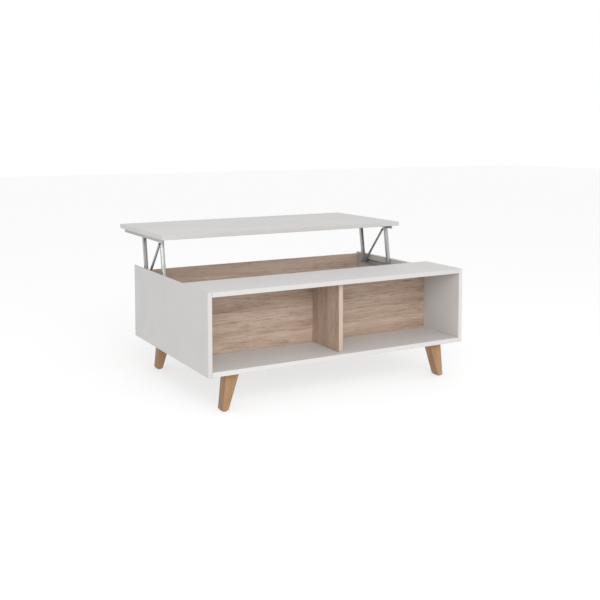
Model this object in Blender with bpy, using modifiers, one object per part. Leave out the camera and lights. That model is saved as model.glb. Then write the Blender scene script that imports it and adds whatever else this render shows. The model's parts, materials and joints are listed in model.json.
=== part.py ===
# Lift top coffee table.  A laminated box stands on four splayed legs.  Two open niches face the
# front, a storage well lies behind them, and the lid over the well rises up and back on two
# parallel-arm lifts.  It is built with the lid raised, which is how every joint rests.
#
# Metres.  Sizes are measured from the box's left front lower corner, X to the right and Y to
# the back, and table_point() moves them into the table's frame: floor at z = 0, and X and Y
# centred on the whole table with its lid raised.

import math

import bmesh
import bpy
from mathutils import Matrix
from mathutils import Vector

# Box.
WIDTH = 1.000
DEPTH = 0.680
HEIGHT = 0.2675
SIDE_THICKNESS = 0.015
TOP_THICKNESS = 0.016
BOTTOM_THICKNESS = 0.016
BACK_THICKNESS = 0.016
DIVIDER_THICKNESS = 0.016
NICHE_DEPTH = 0.205
FIXED_TOP_LAP = 0.0065
DIVIDER_SETBACK = 0.027
REAR_PANEL_DROP = 0.0235
FIT_GAP = 0.0003
EDGE_ROUND = 0.0008

# Lid, of the same board as the fixed top.  It covers the right side panel and lies inside a
# thin lip of the left one.
LID_FRONT_GAP = 0.003
LID_BACK_INSET = 0.0045
LIP_THICKNESS = 0.003
LID_SIDE_GAP = 0.0005
LID_REST_GAP = 0.0005

# Legs, each with a glide under it and a hanger bolt up into the bottom panel.
LEG_HEIGHT = 0.124
LEG_TOP_WIDTH = 0.049
LEG_FOOT_WIDTH = 0.020
LEG_DEPTH = 0.0385
LEG_TOP_INSET = 0.0735
LEG_SPLAY = 0.0122
LEG_END_INSET = 0.029
LEG_ROUND = 0.002
GLIDE_THICKNESS = 0.003
GLIDE_MARGIN = 0.0025
GLIDE_ROUND = 0.0009
BOLT_RADIUS = 0.004
BOLT_WOOD_THREAD_RADIUS = 0.0035
BOLT_TIP_RADIUS = 0.001
BOLT_CHAMFER = 0.0008
BOLT_DEPTH_IN_LEG = 0.030
BOLT_DEPTH_IN_PANEL = 0.012

# Lift arms: pressed channels between a rail on the side panel and a rail under the lid.  Closed,
# the two arms of a lift lie end to end along the well, whose depth sets their length.
ARM_FRONT_MARGIN = 0.0543
ARM_REAR_MARGIN = 0.0537
ARM_END_GAP = 0.0278
ARM_LEAN = math.radians(9.2)
ARM_WIDTH = 0.012
ARM_DEPTH = 0.012
ARM_WALL = 0.001
UPPER_PIVOT_DROP = 0.0096
CLOSED_RISE = 0.0164
PIN_RADIUS = 0.0025
PIN_HEAD_RADIUS = 0.0045
PIN_HEAD_THICKNESS = 0.0015
PIN_CLEARANCE = 0.0003

# Rails: steel angles, their upright flange against the side and their flat one inboard.
RAIL_WALL = 0.0015
RAIL_WIDTH = 0.0145
RAIL_GAP = 0.0005
BASE_RAIL_BELOW_PIVOT = 0.009
BASE_RAIL_ABOVE_PIVOT = 0.005
BASE_RAIL_FRONT_GAP = 0.024
BASE_RAIL_REAR_GAP = 0.032
TOP_RAIL_BELOW_PIVOT = 0.0044
TOP_RAIL_FRONT_GAP = 0.019
TOP_RAIL_REAR_GAP = 0.009

# Telescoping struts, which lie in both channels when the lid is closed.
STRUT_LOWER_OFFSET = 0.0147
STRUT_UPPER_OFFSET = 0.0105
STRUT_PIN_RADIUS = 0.002
STRUT_PIN_HEAD_RADIUS = 0.003
STRUT_PIN_HEAD_THICKNESS = 0.0007
TUBE_RADIUS = 0.0046
TUBE_BORE_RADIUS = 0.0034
ROD_RADIUS = 0.0028
EYE_RADIUS = 0.0045
EYE_THICKNESS = 0.0075
STRUT_MOUTH_GAP = 0.0128
ROD_KEPT_IN_TUBE = 0.024
BORE_BEYOND_ROD = 0.005
NOTCH_MARGIN = 0.0015
NOTCH_SWEEP = 0.003

# Rail screws.
SCREW_RADIUS = 0.00175
SCREW_LENGTH = 0.0115
SCREW_POINT_LENGTH = 0.003
SCREW_POINT_RADIUS = 0.0007
SCREW_HEAD_RADIUS = 0.003
SCREW_HEAD_THICKNESS = 0.0015
SCREW_END_INSET = 0.0075
SCREW_BELOW_PIVOT = 0.0012

# The flat crown of a domed head, as a part of its radius.
HEAD_CROWN = 0.72

# Sides of a round part, the number of its bevel steps, and how far a cutter reaches past.
ROUND_STEPS = 16
EDGE_STEPS = 2
ARM_END_STEPS = 5
ARM_END_ROUND = 0.96
EDGE_ANGLE = math.radians(40)
PAST = 0.002

# Base colour, roughness and metallic value of each finish.
FINISHES = {
    "white_laminate": ((0.72, 0.71, 0.69), 0.45, 0.0),
    "oak_laminate": ((0.42, 0.31, 0.23), 0.55, 0.0),
    "solid_oak": ((0.48, 0.29, 0.15), 0.50, 0.0),
    "zinc_steel": ((0.55, 0.55, 0.54), 0.35, 1.0),
    "black_plastic": ((0.03, 0.03, 0.03), 0.60, 0.0),
}

# Heights and depths that follow from the sizes above.
well_front = NICHE_DEPTH + BACK_THICKNESS
well_back = DEPTH - BACK_THICKNESS
fixed_top_depth = NICHE_DEPTH + FIXED_TOP_LAP
lid_underside = HEIGHT - TOP_THICKNESS
lid_front = fixed_top_depth + LID_FRONT_GAP
lid_back = DEPTH - LID_BACK_INSET
upper_pivot_z = lid_underside - UPPER_PIVOT_DROP
lower_pivot_z = upper_pivot_z - CLOSED_RISE
rear_lower_y = well_back - ARM_REAR_MARGIN
front_upper_y = well_front + ARM_FRONT_MARGIN
closed_reach = (rear_lower_y - front_upper_y - ARM_END_GAP) / 2
arm_length = math.hypot(closed_reach, CLOSED_RISE)
closed_angle = math.asin(CLOSED_RISE / arm_length)
lift_y = arm_length * math.sin(ARM_LEAN) + closed_reach
lift_z = arm_length * math.cos(ARM_LEAN) - CLOSED_RISE
rear_upper_y = rear_lower_y - closed_reach
front_lower_y = front_upper_y + closed_reach
strut_lower_y = rear_lower_y - STRUT_LOWER_OFFSET
strut_upper_y = front_upper_y + STRUT_UPPER_OFFSET
strut_run = strut_lower_y - strut_upper_y
strut_closed_length = math.hypot(strut_run, CLOSED_RISE)
strut_length = math.hypot(strut_run - lift_y, CLOSED_RISE + lift_z)
strut_turn = math.atan2(strut_run - lift_y, CLOSED_RISE + lift_z)
tube_length = strut_length - EYE_RADIUS - STRUT_MOUTH_GAP
rod_length = strut_closed_length - tube_length + ROD_KEPT_IN_TUBE
rail_outer = SIDE_THICKNESS + RAIL_GAP
rail_inner = rail_outer + RAIL_WALL
arm_outer = rail_inner + RAIL_GAP
arm_middle = arm_outer + ARM_WIDTH / 2
base_rail_front = well_front + BASE_RAIL_FRONT_GAP
base_rail_back = well_back - BASE_RAIL_REAR_GAP
top_rail_front = well_front + TOP_RAIL_FRONT_GAP
top_rail_back = well_back - TOP_RAIL_REAR_GAP
between_arms_y = (front_lower_y + rear_upper_y) / 2
table_depth = lid_back + lift_y

table = bpy.data.collections.new("lift_top_coffee_table")
cutters = bpy.data.collections.new("cutters")


def table_point(x, y, z):
    return Vector((x - WIDTH / 2, y - table_depth / 2, z + LEG_HEIGHT))


def side_x(side, inset):
    # An inset from the outer face of the left (-1) or right (+1) side panel.
    return inset if side < 0 else WIDTH - inset


def side_name(side):
    return "left" if side < 0 else "right"


def own_material(name, finish):
    colour, roughness, metallic = FINISHES[finish]
    material = bpy.data.materials.new(name + "_" + finish)
    material.use_nodes = True
    shader = material.node_tree.nodes["Principled BSDF"]
    shader.inputs["Base Color"].default_value = (*colour, 1.0)
    shader.inputs["Roughness"].default_value = roughness
    shader.inputs["Metallic"].default_value = metallic
    material.diffuse_color = (*colour, 1.0)
    return material


def add_object(name, shape, finish, place, turn=(0.0, 0.0, 0.0), parent=None):
    mesh = bpy.data.meshes.new(name)
    shape.to_mesh(mesh)
    shape.free()
    mesh.materials.append(own_material(name, finish))
    piece = bpy.data.objects.new(name, mesh)
    table.objects.link(piece)
    piece.rotation_euler = turn
    piece.location = place
    if parent:
        piece.parent = parent
        piece.location = place - parent.location
    return piece


def add_empty(name, place):
    empty = bpy.data.objects.new(name, None)
    empty.empty_display_size = 0.03
    empty.location = place
    table.objects.link(empty)
    return empty


def box_shape(size):
    shape = bmesh.new()
    bmesh.ops.create_cube(shape, size=1.0, matrix=Matrix.Diagonal((*size, 1.0)))
    return shape


def add_box(shape, low, high):
    middle = (Vector(low) + Vector(high)) / 2
    size = Vector(high) - Vector(low)
    place = Matrix.Translation(middle) @ Matrix.Diagonal((*size, 1.0))
    bmesh.ops.create_cube(shape, size=1.0, matrix=place)


def add_cylinder(shape, start, end, radius):
    axis = Vector(end) - Vector(start)
    turn = axis.to_track_quat("Z", "Y").to_matrix().to_4x4()
    place = Matrix.Translation((Vector(start) + Vector(end)) / 2) @ turn
    bmesh.ops.create_cone(shape, cap_ends=True, segments=ROUND_STEPS, radius1=radius,
                          radius2=radius, depth=axis.length, matrix=place)


def boolean(piece, shape, operation="DIFFERENCE", like=None):
    # The cutter's shape is in the table's frame, or in that of the turned piece it is like.
    mesh = bpy.data.meshes.new(piece.name + "_cutter")
    shape.to_mesh(mesh)
    shape.free()
    cutter = bpy.data.objects.new(mesh.name, mesh)
    cutters.objects.link(cutter)
    cutter.hide_render = True
    cutter.display_type = "WIRE"
    if like:
        cutter.parent = like.parent
        cutter.location = like.location
        cutter.rotation_euler = like.rotation_euler
    modifier = piece.modifiers.new("boolean", "BOOLEAN")
    modifier.operation = operation
    modifier.object = cutter


def round_edges(piece, width):
    bevel = piece.modifiers.new("rounded edges", "BEVEL")
    bevel.width = width
    bevel.segments = EDGE_STEPS
    bevel.limit_method = "ANGLE"
    bevel.angle_limit = EDGE_ANGLE


def board(name, low, high, finish, rebate=None, parent=None):
    # A board between two corners of the box's frame, with an optional rebate along one edge.
    first = table_point(*low)
    last = table_point(*high)
    piece = add_object(name, box_shape(last - first), finish, (first + last) / 2, parent=parent)
    if rebate:
        shape = bmesh.new()
        add_box(shape, table_point(*rebate[0]), table_point(*rebate[1]))
        boolean(piece, shape)
    round_edges(piece, EDGE_ROUND)
    return piece


def drill(piece, holes):
    # Each hole is a start, an end and a radius in the box's frame.
    shape = bmesh.new()
    for start, end, radius in holes:
        add_cylinder(shape, table_point(*start), table_point(*end), radius)
    boolean(piece, shape)


def turned(name, profile, finish, place, turn, parent=None):
    # A profile of radius and height, from its head to its foot, turned about Z.
    shape = bmesh.new()
    corners = [shape.verts.new((radius, 0.0, height)) for radius, height in profile]
    for above, below in zip(corners, corners[1:]):
        shape.edges.new((above, below))
    piece = add_object(name, shape, finish, place, turn, parent)
    screw = piece.modifiers.new("turned", "SCREW")
    screw.axis = "Z"
    screw.steps = ROUND_STEPS
    screw.render_steps = ROUND_STEPS
    screw.use_merge_vertices = True
    screw.merge_threshold = 0.00005
    screw.use_smooth_shade = True
    return piece


def domed_head(radius, thickness):
    return [
        (0.0, thickness),
        (radius * HEAD_CROWN, thickness),
        (radius, thickness / 2),
        (radius, 0.0),
    ]


def flat_head(radius, thickness):
    return [(0.0, thickness), (radius, thickness), (radius, 0.0)]


def plain_shank(radius, length):
    return [(radius, 0.0), (radius, -length), (0.0, -length)]


def pointed_shank(radius, length):
    return [
        (radius, 0.0),
        (radius, -length + SCREW_POINT_LENGTH),
        (SCREW_POINT_RADIUS, -length),
        (0.0, -length),
    ]


def rail_screw_places(first, last):
    # One screw near each end and one between the arms, clear of what the arms sweep.
    return [first + SCREW_END_INSET, between_arms_y, last - SCREW_END_INSET]


def bolt_place(side, end):
    x = side_x(side, LEG_TOP_INSET + LEG_TOP_WIDTH / 2)
    y = LEG_END_INSET + LEG_DEPTH / 2
    return x, y if end < 0 else DEPTH - y


def base_screw_holes(side):
    height = lower_pivot_z - SCREW_BELOW_PIVOT
    radius = SCREW_RADIUS + FIT_GAP
    holes = []
    for y in rail_screw_places(base_rail_front, base_rail_back):
        start = (side_x(side, rail_inner + PAST), y, height)
        end = (side_x(side, rail_inner - SCREW_LENGTH - FIT_GAP), y, height)
        holes.append((start, end, radius))
    return holes


def lid_screw_holes(side):
    flange = lid_underside - FIT_GAP - RAIL_WALL + lift_z
    x = side_x(side, (rail_inner + rail_outer + RAIL_WIDTH) / 2)
    radius = SCREW_RADIUS + FIT_GAP
    holes = []
    for y in rail_screw_places(top_rail_front, top_rail_back):
        start = (x, y + lift_y, flange - PAST)
        end = (x, y + lift_y, flange + SCREW_LENGTH + FIT_GAP)
        holes.append((start, end, radius))
    return holes


def build_carcass():
    rebate_low = lid_underside - LID_REST_GAP
    rebate_y = (fixed_top_depth, DEPTH + PAST)
    for side in (-1, 1):
        outer = side_x(side, 0.0)
        inner = side_x(side, SIDE_THICKNESS)
        low = (min(outer, inner), 0.0, 0.0)
        high = (max(outer, inner), DEPTH, HEIGHT)
        # The left panel keeps a lip at its outer face, and the right one is cut down whole.
        cut_low = LIP_THICKNESS if side < 0 else low[0] - PAST
        cut_high = high[0] + PAST
        rebate = ((cut_low, rebate_y[0], rebate_low), (cut_high, rebate_y[1], HEIGHT + PAST))
        panel = board(side_name(side) + "_side_panel", low, high, "white_laminate", rebate)
        drill(panel, base_screw_holes(side))

    inside_left = SIDE_THICKNESS + FIT_GAP
    inside_right = WIDTH - SIDE_THICKNESS - FIT_GAP
    floor = BOTTOM_THICKNESS + FIT_GAP
    ceiling = HEIGHT - TOP_THICKNESS - FIT_GAP
    bottom = board("bottom_panel", (inside_left, 0.0, 0.0),
                   (inside_right, DEPTH, BOTTOM_THICKNESS), "white_laminate")
    bolt_holes = []
    for side in (-1, 1):
        for end in (-1, 1):
            x, y = bolt_place(side, end)
            tip = BOLT_DEPTH_IN_PANEL + FIT_GAP
            bolt_holes.append(((x, y, -PAST), (x, y, tip), BOLT_RADIUS + FIT_GAP))
    drill(bottom, bolt_holes)
    board("fixed_top", (inside_left, 0.0, HEIGHT - TOP_THICKNESS),
          (inside_right, fixed_top_depth, HEIGHT), "white_laminate")

    # The niches' back stands under the fixed top, and the lid's front edge closes over it.
    back_top = lid_underside - LID_REST_GAP
    board("niche_back_panel", (inside_left, NICHE_DEPTH, floor),
          (inside_right, NICHE_DEPTH + BACK_THICKNESS, back_top), "oak_laminate")
    middle = WIDTH / 2
    board("centre_divider", (middle - DIVIDER_THICKNESS / 2, DIVIDER_SETBACK, floor),
          (middle + DIVIDER_THICKNESS / 2, NICHE_DEPTH - FIT_GAP, ceiling), "oak_laminate")
    board("rear_panel", (inside_left, DEPTH - BACK_THICKNESS, floor),
          (inside_right, DEPTH, HEIGHT - REAR_PANEL_DROP), "oak_laminate")


def build_leg(side, end):
    name = side_name(side) + ("_front" if end < 0 else "_rear")
    length = LEG_HEIGHT - GLIDE_THICKNESS - 2 * FIT_GAP
    x, y = bolt_place(side, end)
    top = table_point(x, y, -FIT_GAP)
    shape = box_shape((LEG_TOP_WIDTH, LEG_DEPTH, length))
    foot_outer = LEG_TOP_WIDTH / 2 + LEG_SPLAY
    foot_inner = foot_outer - LEG_FOOT_WIDTH
    for corner in shape.verts:
        outward = corner.co.x * side > 0
        if corner.co.z < 0:
            corner.co.x = side * (foot_outer if outward else foot_inner)
        corner.co.z -= length / 2
    leg = add_object(name + "_leg", shape, "solid_oak", top)
    round_edges(leg, LEG_ROUND)
    radius = BOLT_RADIUS + FIT_GAP
    drill(leg, [((x, y, PAST), (x, y, -BOLT_DEPTH_IN_LEG - 2 * FIT_GAP), radius)])

    glide_x = x + side * (foot_outer + foot_inner) / 2
    glide_size = (LEG_FOOT_WIDTH - 2 * GLIDE_MARGIN, LEG_DEPTH - 2 * GLIDE_MARGIN, GLIDE_THICKNESS)
    glide_place = table_point(glide_x, y, GLIDE_THICKNESS / 2 - LEG_HEIGHT)
    glide = add_object(name + "_glide", box_shape(glide_size), "black_plastic", glide_place)
    round_edges(glide, GLIDE_ROUND)

    profile = [
        (0.0, BOLT_DEPTH_IN_PANEL),
        (BOLT_RADIUS - BOLT_CHAMFER, BOLT_DEPTH_IN_PANEL),
        (BOLT_RADIUS, BOLT_DEPTH_IN_PANEL - BOLT_CHAMFER),
        (BOLT_RADIUS, -FIT_GAP),
        (BOLT_WOOD_THREAD_RADIUS, -BOLT_RADIUS),
        (BOLT_WOOD_THREAD_RADIUS, -BOLT_DEPTH_IN_LEG + BOLT_RADIUS),
        (BOLT_TIP_RADIUS, -BOLT_DEPTH_IN_LEG),
        (0.0, -BOLT_DEPTH_IN_LEG),
    ]
    turned(name + "_leg_bolt", profile, "zinc_steel", table_point(x, y, 0.0), (0.0, 0.0, 0.0))


def build_lid(lid_pivot):
    low = (LIP_THICKNESS + LID_SIDE_GAP, lid_front + lift_y, lid_underside + lift_z)
    high = (WIDTH, lid_back + lift_y, HEIGHT + lift_z)
    lid = board("lift_lid", low, high, "white_laminate", parent=lid_pivot)
    drill(lid, lid_screw_holes(-1) + lid_screw_holes(1))


def angle_rail(name, side, y_range, z_range, flat_at_top, parent=None):
    # A steel angle: its upright flange by the side panel, its flat flange at top or bottom.
    x_range = sorted((side_x(side, rail_outer), side_x(side, rail_outer + RAIL_WIDTH)))
    low = table_point(x_range[0], y_range[0], z_range[0])
    high = table_point(x_range[1], y_range[1], z_range[1])
    piece = add_object(name, box_shape(high - low), "zinc_steel", (low + high) / 2, parent=parent)
    cut_x = sorted((side_x(side, rail_inner), side_x(side, rail_outer + RAIL_WIDTH + PAST)))
    cut_z = [z_range[0] + RAIL_WALL, z_range[1] + PAST]
    if flat_at_top:
        cut_z = [z_range[0] - PAST, z_range[1] - RAIL_WALL]
    shape = bmesh.new()
    add_box(shape, table_point(cut_x[0], y_range[0] - PAST, cut_z[0]),
            table_point(cut_x[1], y_range[1] + PAST, cut_z[1]))
    boolean(piece, shape)
    return piece


def pin_hole(side, y, z, radius):
    start = (side_x(side, rail_outer - PAST), y, z)
    end = (side_x(side, rail_inner + PAST), y, z)
    return start, end, radius + FIT_GAP


def build_rails(side, lid_pivot):
    name = side_name(side)
    base_z = (lower_pivot_z - BASE_RAIL_BELOW_PIVOT, lower_pivot_z + BASE_RAIL_ABOVE_PIVOT)
    base = angle_rail(name + "_base_rail", side, (base_rail_front, base_rail_back), base_z, False)
    drill(base, base_screw_holes(side) + [
        pin_hole(side, rear_lower_y, lower_pivot_z, PIN_RADIUS),
        pin_hole(side, front_lower_y, lower_pivot_z, PIN_RADIUS),
        pin_hole(side, strut_lower_y, lower_pivot_z, STRUT_PIN_RADIUS),
    ])

    top_z = (upper_pivot_z - TOP_RAIL_BELOW_PIVOT + lift_z, lid_underside - FIT_GAP + lift_z)
    top_y = (top_rail_front + lift_y, top_rail_back + lift_y)
    raised_z = upper_pivot_z + lift_z
    top = angle_rail(name + "_top_rail", side, top_y, top_z, True, lid_pivot)
    drill(top, lid_screw_holes(side) + [
        pin_hole(side, rear_upper_y + lift_y, raised_z, PIN_RADIUS),
        pin_hole(side, front_upper_y + lift_y, raised_z, PIN_RADIUS),
        pin_hole(side, strut_upper_y + lift_y, raised_z, STRUT_PIN_RADIUS),
    ])


def build_screws(side, lid_pivot):
    profile = domed_head(SCREW_HEAD_RADIUS, SCREW_HEAD_THICKNESS)
    profile += pointed_shank(SCREW_RADIUS, SCREW_LENGTH)
    inboard = (0.0, -side * math.pi / 2, 0.0)
    downward = (math.pi, 0.0, 0.0)
    base_x = side_x(side, rail_inner + FIT_GAP / 2)
    base_z = lower_pivot_z - SCREW_BELOW_PIVOT
    for number, y in enumerate(rail_screw_places(base_rail_front, base_rail_back), 1):
        turned(f"{side_name(side)}_base_screw_{number}", profile, "zinc_steel",
               table_point(base_x, y, base_z), inboard)
    lid_x = side_x(side, (rail_inner + rail_outer + RAIL_WIDTH) / 2)
    lid_z = lid_underside - FIT_GAP - RAIL_WALL - FIT_GAP / 2 + lift_z
    for number, y in enumerate(rail_screw_places(top_rail_front, top_rail_back), 1):
        turned(f"{side_name(side)}_lid_screw_{number}", profile, "zinc_steel",
               table_point(lid_x, y + lift_y, lid_z), downward, lid_pivot)


def build_arm(name, side, pivot_y, opening, notch):
    # A channel from its lower pin along local Z, open to the back (+1) or the front (-1).
    # The notch, a height and an offset, clears the strut's pin when the lid is closed.
    half = ARM_DEPTH / 2
    shape = box_shape((ARM_WIDTH, ARM_DEPTH, arm_length + ARM_DEPTH))
    ends = [edge for edge in shape.edges
            if abs(edge.verts[0].co.x - edge.verts[1].co.x) > ARM_WIDTH / 2]
    bmesh.ops.bevel(shape, geom=ends, offset=half * ARM_END_ROUND, segments=ARM_END_STEPS,
                    profile=0.5, affect="EDGES", clamp_overlap=True)
    bmesh.ops.translate(shape, vec=(0.0, 0.0, arm_length / 2), verts=shape.verts)
    place = table_point(side_x(side, arm_middle), pivot_y, lower_pivot_z)
    arm = add_object(name, shape, "zinc_steel", place, (-ARM_LEAN, 0.0, 0.0))

    inside = bmesh.new()
    half_inside = ARM_WIDTH / 2 - ARM_WALL
    y_cut = sorted((-opening * (half - ARM_WALL), opening * ARM_DEPTH))
    add_box(inside, (-half_inside, y_cut[0], -ARM_DEPTH),
            (half_inside, y_cut[1], arm_length + ARM_DEPTH))
    boolean(arm, inside, like=arm)

    openings = bmesh.new()
    for height in (0.0, arm_length):
        add_cylinder(openings, (-ARM_WIDTH, 0.0, height), (ARM_WIDTH, 0.0, height),
                     PIN_RADIUS + PIN_CLEARANCE)
    height, offset = notch
    reach = STRUT_PIN_RADIUS + NOTCH_MARGIN
    sweep = STRUT_PIN_RADIUS + NOTCH_SWEEP
    x_cut = sorted((side * ARM_WIDTH, side * half_inside - side * FIT_GAP))
    y_cut = sorted((opening * (offset - reach), opening * ARM_DEPTH))
    add_box(openings, (x_cut[0], y_cut[0], height - sweep), (x_cut[1], y_cut[1], height + sweep))
    boolean(arm, openings, like=arm)


def build_arms(side):
    # Where each strut pin lies beside the arm when the lid is closed.
    rear_notch = (STRUT_LOWER_OFFSET * math.cos(closed_angle),
                  STRUT_LOWER_OFFSET * math.sin(closed_angle))
    front_notch = (arm_length - STRUT_UPPER_OFFSET * math.cos(closed_angle),
                   STRUT_UPPER_OFFSET * math.sin(closed_angle))
    build_arm(side_name(side) + "_rear_arm", side, rear_lower_y, -1, rear_notch)
    build_arm(side_name(side) + "_front_arm", side, front_lower_y, 1, front_notch)


def build_strut(side):
    # The tube runs up local Z from its lower eye, and the rod down from its upper eye into it.
    turn = (strut_turn, 0.0, 0.0)
    x = side_x(side, arm_middle)
    half_eye = EYE_THICKNESS / 2

    tube_shape = bmesh.new()
    add_cylinder(tube_shape, (-half_eye, 0.0, 0.0), (half_eye, 0.0, 0.0), EYE_RADIUS)
    tube = add_object(side_name(side) + "_strut_tube", tube_shape, "zinc_steel",
                      table_point(x, strut_lower_y, lower_pivot_z), turn)
    barrel = bmesh.new()
    neck = STRUT_PIN_HEAD_RADIUS + 2 * FIT_GAP
    add_cylinder(barrel, (0.0, 0.0, neck), (0.0, 0.0, tube_length), TUBE_RADIUS)
    boolean(tube, barrel, "UNION", like=tube)
    bore = bmesh.new()
    bore_start = strut_length - rod_length - BORE_BEYOND_ROD
    add_cylinder(bore, (0.0, 0.0, bore_start), (0.0, 0.0, tube_length + PAST), TUBE_BORE_RADIUS)
    add_cylinder(bore, (-EYE_RADIUS, 0.0, 0.0), (EYE_RADIUS, 0.0, 0.0),
                 STRUT_PIN_RADIUS + PIN_CLEARANCE)
    boolean(tube, bore, like=tube)

    rod_shape = bmesh.new()
    add_cylinder(rod_shape, (-half_eye, 0.0, 0.0), (half_eye, 0.0, 0.0), EYE_RADIUS)
    rod = add_object(side_name(side) + "_strut_rod", rod_shape, "zinc_steel",
                     table_point(x, strut_upper_y + lift_y, upper_pivot_z + lift_z), turn)
    stem = bmesh.new()
    add_cylinder(stem, (0.0, 0.0, -neck), (0.0, 0.0, -rod_length), ROD_RADIUS)
    boolean(rod, stem, "UNION", like=rod)
    eye_hole = bmesh.new()
    add_cylinder(eye_hole, (-EYE_RADIUS, 0.0, 0.0), (EYE_RADIUS, 0.0, 0.0),
                 STRUT_PIN_RADIUS + PIN_CLEARANCE)
    boolean(rod, eye_hole, like=rod)


def build_pins(side, lid_pivot):
    turn = (0.0, -side * math.pi / 2, 0.0)
    arm_pin_seat = arm_outer + ARM_WIDTH + FIT_GAP
    arm_profile = domed_head(PIN_HEAD_RADIUS, PIN_HEAD_THICKNESS)
    arm_profile += plain_shank(PIN_RADIUS, arm_pin_seat - rail_outer)
    strut_pin_seat = arm_middle + EYE_THICKNESS / 2 + FIT_GAP
    strut_profile = flat_head(STRUT_PIN_HEAD_RADIUS, STRUT_PIN_HEAD_THICKNESS)
    strut_profile += plain_shank(STRUT_PIN_RADIUS, strut_pin_seat - rail_outer)
    raised_z = upper_pivot_z + lift_z
    pins = [
        ("rear_lower_pin", arm_profile, arm_pin_seat, rear_lower_y, lower_pivot_z, None),
        ("front_lower_pin", arm_profile, arm_pin_seat, front_lower_y, lower_pivot_z, None),
        ("rear_upper_pin", arm_profile, arm_pin_seat, rear_upper_y + lift_y, raised_z, lid_pivot),
        ("front_upper_pin", arm_profile, arm_pin_seat, front_upper_y + lift_y, raised_z,
         lid_pivot),
        ("strut_lower_pin", strut_profile, strut_pin_seat, strut_lower_y, lower_pivot_z, None),
        ("strut_upper_pin", strut_profile, strut_pin_seat, strut_upper_y + lift_y, raised_z,
         lid_pivot),
    ]
    for name, profile, seat, y, z, parent in pins:
        turned(side_name(side) + "_" + name, profile, "zinc_steel",
               table_point(side_x(side, seat), y, z), turn, parent)


def main():
    for item in list(bpy.data.objects):
        bpy.data.objects.remove(item, do_unlink=True)
    bpy.context.scene.collection.children.link(table)
    bpy.context.scene.collection.children.link(cutters)

    build_carcass()
    for side in (-1, 1):
        for end in (-1, 1):
            build_leg(side, end)
    # Everything that rises with the lid hangs from an empty on its rear hinge axis.
    lid_pivot = add_empty("lid_pivot", table_point(WIDTH / 2, rear_upper_y + lift_y,
                                                   upper_pivot_z + lift_z))
    build_lid(lid_pivot)
    for side in (-1, 1):
        build_rails(side, lid_pivot)
        build_screws(side, lid_pivot)
        build_arms(side)
        build_strut(side)
        build_pins(side, lid_pivot)
    bpy.context.view_layer.update()


main()
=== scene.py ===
import json
import math

import bmesh
import bpy
from mathutils import Matrix, Vector

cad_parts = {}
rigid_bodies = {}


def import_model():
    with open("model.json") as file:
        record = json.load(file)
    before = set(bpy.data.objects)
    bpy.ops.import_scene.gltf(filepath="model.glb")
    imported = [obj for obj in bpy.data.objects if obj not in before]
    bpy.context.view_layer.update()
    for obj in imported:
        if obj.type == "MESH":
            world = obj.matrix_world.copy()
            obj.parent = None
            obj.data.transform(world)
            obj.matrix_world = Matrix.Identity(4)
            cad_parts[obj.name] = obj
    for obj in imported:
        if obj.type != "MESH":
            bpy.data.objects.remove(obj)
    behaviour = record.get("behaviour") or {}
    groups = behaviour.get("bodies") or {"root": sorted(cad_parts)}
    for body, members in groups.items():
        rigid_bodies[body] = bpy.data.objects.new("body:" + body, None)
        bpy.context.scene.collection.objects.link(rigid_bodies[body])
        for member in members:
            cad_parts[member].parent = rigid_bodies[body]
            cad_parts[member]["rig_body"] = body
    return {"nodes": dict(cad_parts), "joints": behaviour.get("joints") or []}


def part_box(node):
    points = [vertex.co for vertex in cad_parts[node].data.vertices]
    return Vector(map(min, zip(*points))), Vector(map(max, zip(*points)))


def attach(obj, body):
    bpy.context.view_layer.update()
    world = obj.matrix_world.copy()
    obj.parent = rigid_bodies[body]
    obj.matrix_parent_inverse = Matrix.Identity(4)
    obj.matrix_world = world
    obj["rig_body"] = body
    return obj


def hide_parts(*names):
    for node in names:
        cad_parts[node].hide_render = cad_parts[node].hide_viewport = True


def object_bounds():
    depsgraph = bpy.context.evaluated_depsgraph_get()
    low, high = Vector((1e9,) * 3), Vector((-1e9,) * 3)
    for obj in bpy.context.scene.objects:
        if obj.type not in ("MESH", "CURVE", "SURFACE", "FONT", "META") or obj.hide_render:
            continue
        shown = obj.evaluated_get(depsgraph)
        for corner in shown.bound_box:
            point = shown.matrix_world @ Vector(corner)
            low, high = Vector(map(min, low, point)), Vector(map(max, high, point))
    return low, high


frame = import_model()
cadLow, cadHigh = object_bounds()
nodes = frame["nodes"]
joints = {joint["name"]: Vector(joint["pos_m"]) for joint in frame["joints"]}
sides = ("left", "right")
print("frame loaded:", len(nodes), "nodes")


cameraLook = {
    "place": (-1.5836, -2.9270, 0.8867),
    "yaw": 29.408,
    "pitch": -4.403,
    "sensor": 36,
    "lens": 53.58,
    "shiftY": -1 / 6,
}
studioLook = {
    "worldLight": 0.90,
    "floorColour": (0.44, 0.44, 0.44),
    "floorGlow": 0.545,
    "floorRoughness": 0.9,
    "floorSpecular": 0.1,
    "floorSize": 30.0,
}
softLights = {
    "frontSoftbox": {
        "place": (-0.95, -3.1, 1.9),
        "aim": (0.1, 0.0, 0.2),
        "size": (2.0, 1.6),
        "power": 54,
    },
    "topSoftbox": {
        "place": (0.4, 0.4, 3.2),
        "aim": (0.0, 0.0, 0.3),
        "size": (3.0, 3.0),
        "power": 3,
    },
}


def makeCamera():
    cameraData = bpy.data.cameras.new("camera")
    camera = bpy.data.objects.new("camera", cameraData)
    bpy.context.scene.collection.objects.link(camera)
    cameraData.sensor_width = cameraLook["sensor"]
    cameraData.lens = cameraLook["lens"]
    cameraData.shift_y = cameraLook["shiftY"]
    camera.location = cameraLook["place"]
    pitch = math.radians(90 + cameraLook["pitch"])
    camera.rotation_euler = (pitch, 0, -math.radians(cameraLook["yaw"]))
    bpy.context.scene.camera = camera


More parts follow.
